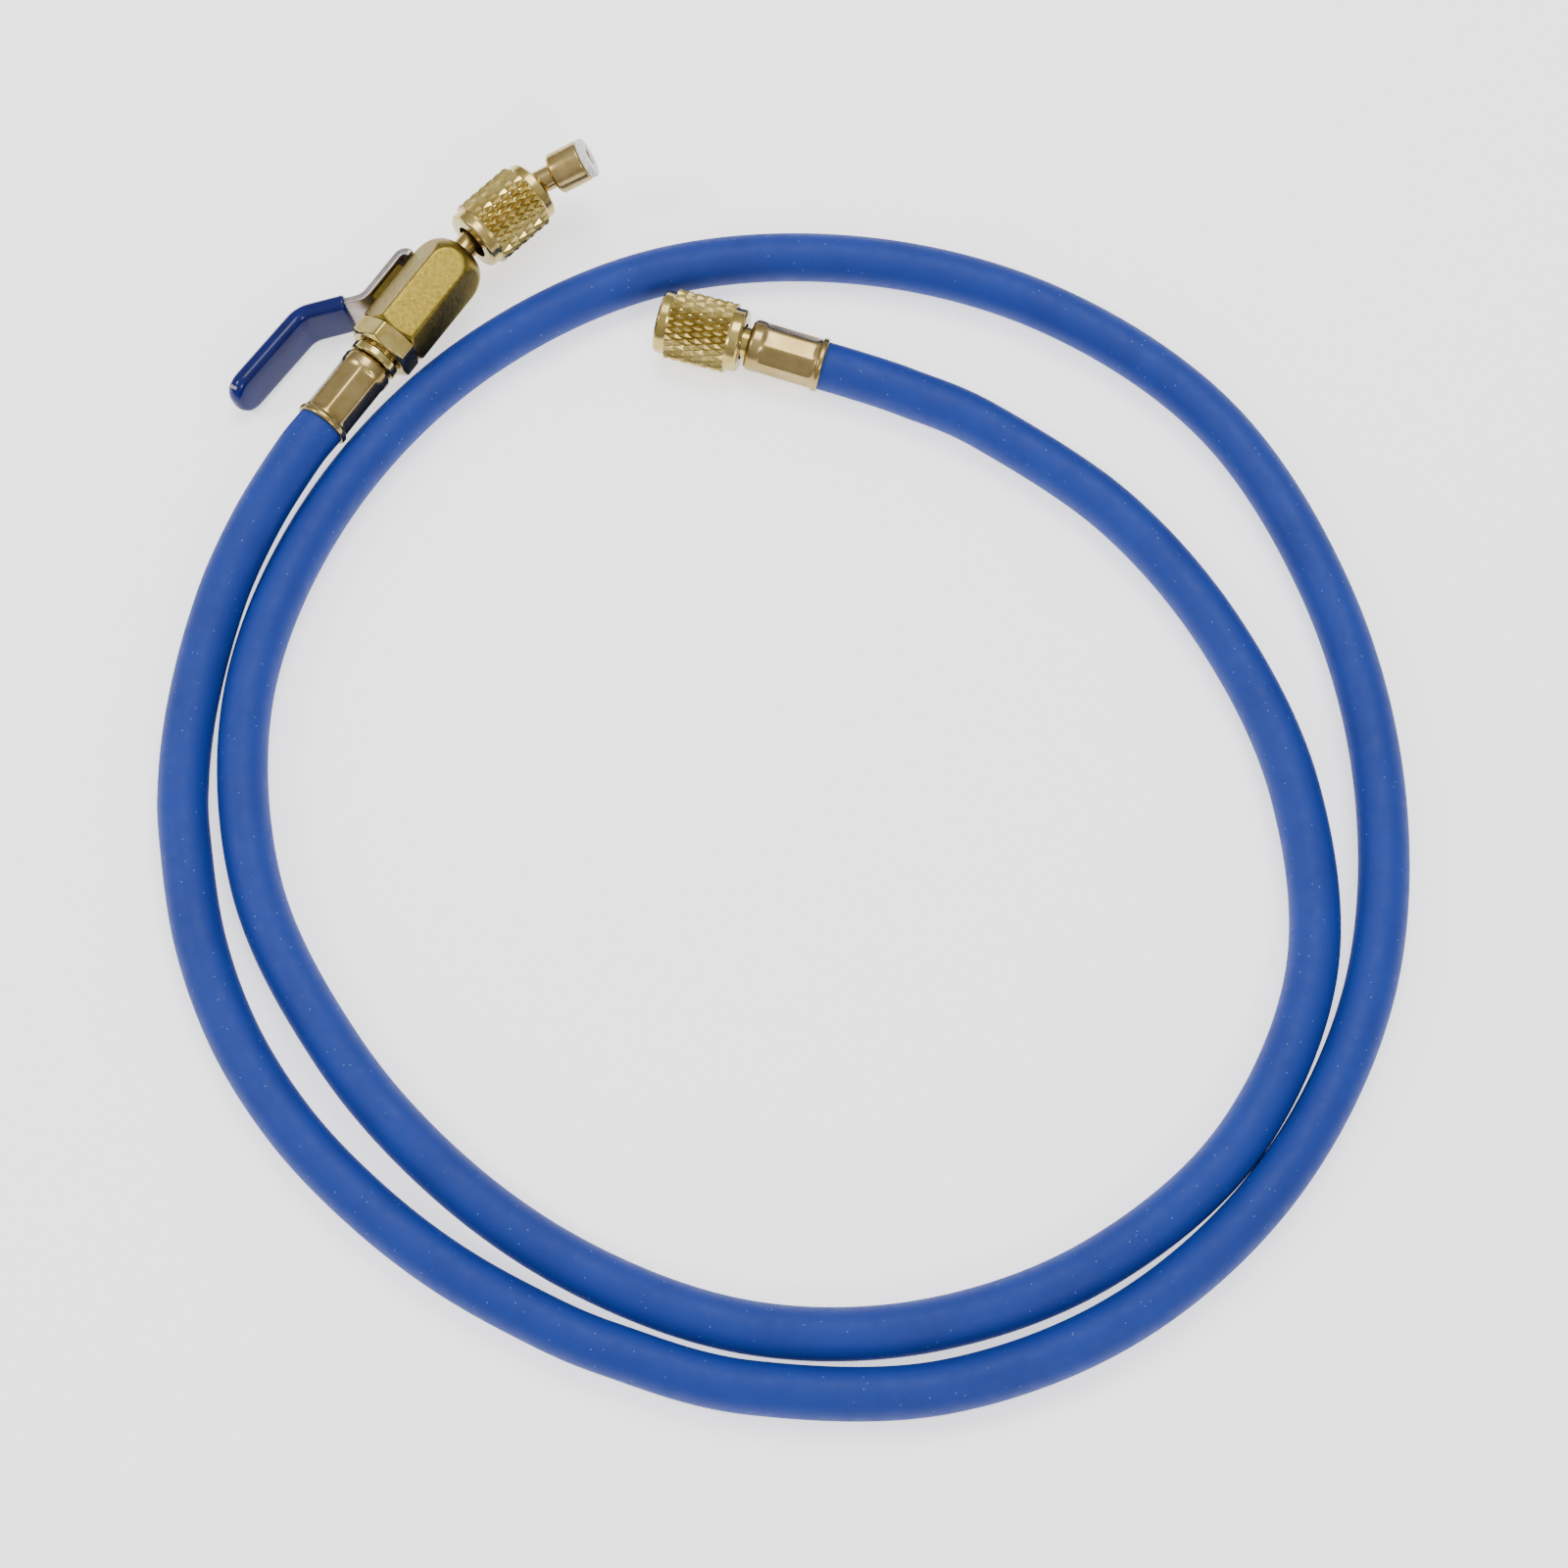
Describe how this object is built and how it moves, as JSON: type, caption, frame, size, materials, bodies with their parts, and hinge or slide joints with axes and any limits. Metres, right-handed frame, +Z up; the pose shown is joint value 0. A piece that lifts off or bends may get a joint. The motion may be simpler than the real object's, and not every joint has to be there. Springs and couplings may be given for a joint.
{
  "type": "refrigerant charging hose",
  "caption": "Coiled blue refrigerant charging hose with a quarter-turn ball valve and bent neck at one end and knurled brass nuts at both ends.",
  "frame": {"origin": "on the floor, below the middle of the box around the two ends' fittings; the hose isn't counted in that box", "axes": "+Z up, +X from the valve end to the straight end as both lie side by side, +Y away from the coil"},
  "size_m": [0.2693, 0.2878, 0.0236],
  "materials": {
    "blue_rubber": "satin extruded rubber cover",
    "ferrule_brass": "bright drawn brass",
    "brass": "machined yellow brass",
    "plated_steel": "bright plated",
    "blue_vinyl": "glossy dipped vinyl",
    "white_seal": "plain white"
  },
  "bodies": {
    "hose_and_fittings": {"hose": "blue_rubber", "ferrule_valve_end": "ferrule_brass", "hose_adapter": "brass", "valve_body": "brass", "seat_hose_side": "white_seal", "seat_head_side": "white_seal", "neck_tube": "ferrule_brass", "head_seal": "white_seal", "core_depressor": "ferrule_brass", "ferrule_straight_end": "ferrule_brass", "nipple": "brass", "nut_seal": "white_seal"},
    "valve_lever": {"lever": "plated_steel", "lever_grip": "blue_vinyl", "valve_stem": "brass", "valve_ball": "plated_steel"},
    "valve_end_nut": {"knurled_nut_valve_end": "brass"},
    "straight_end_nut": {"knurled_nut_straight_end": "brass"}
  },
  "joints": [
    {"name": "valve_quarter_turn", "type": "hinge", "parent": "hose_and_fittings", "child": "valve_lever", "pos_m": [-0.03209, 0.00293, 0.00925], "axis": [-0.7975, 0.5527, -0.2419], "range_deg": [0, 90]},
    {"name": "valve_end_nut_spin", "type": "hinge", "parent": "hose_and_fittings", "child": "valve_end_nut", "pos_m": [-0.00652, 0.02046, 0.01208], "axis": [0.7119, 0.7021, 0.0151], "continuous": true},
    {"name": "straight_end_nut_spin", "type": "hinge", "parent": "hose_and_fittings", "child": "straight_end_nut", "pos_m": [0.03892, -0.00699, 0.008], "axis": [-0.9622, 0.2723, 0], "continuous": true}
  ]
}
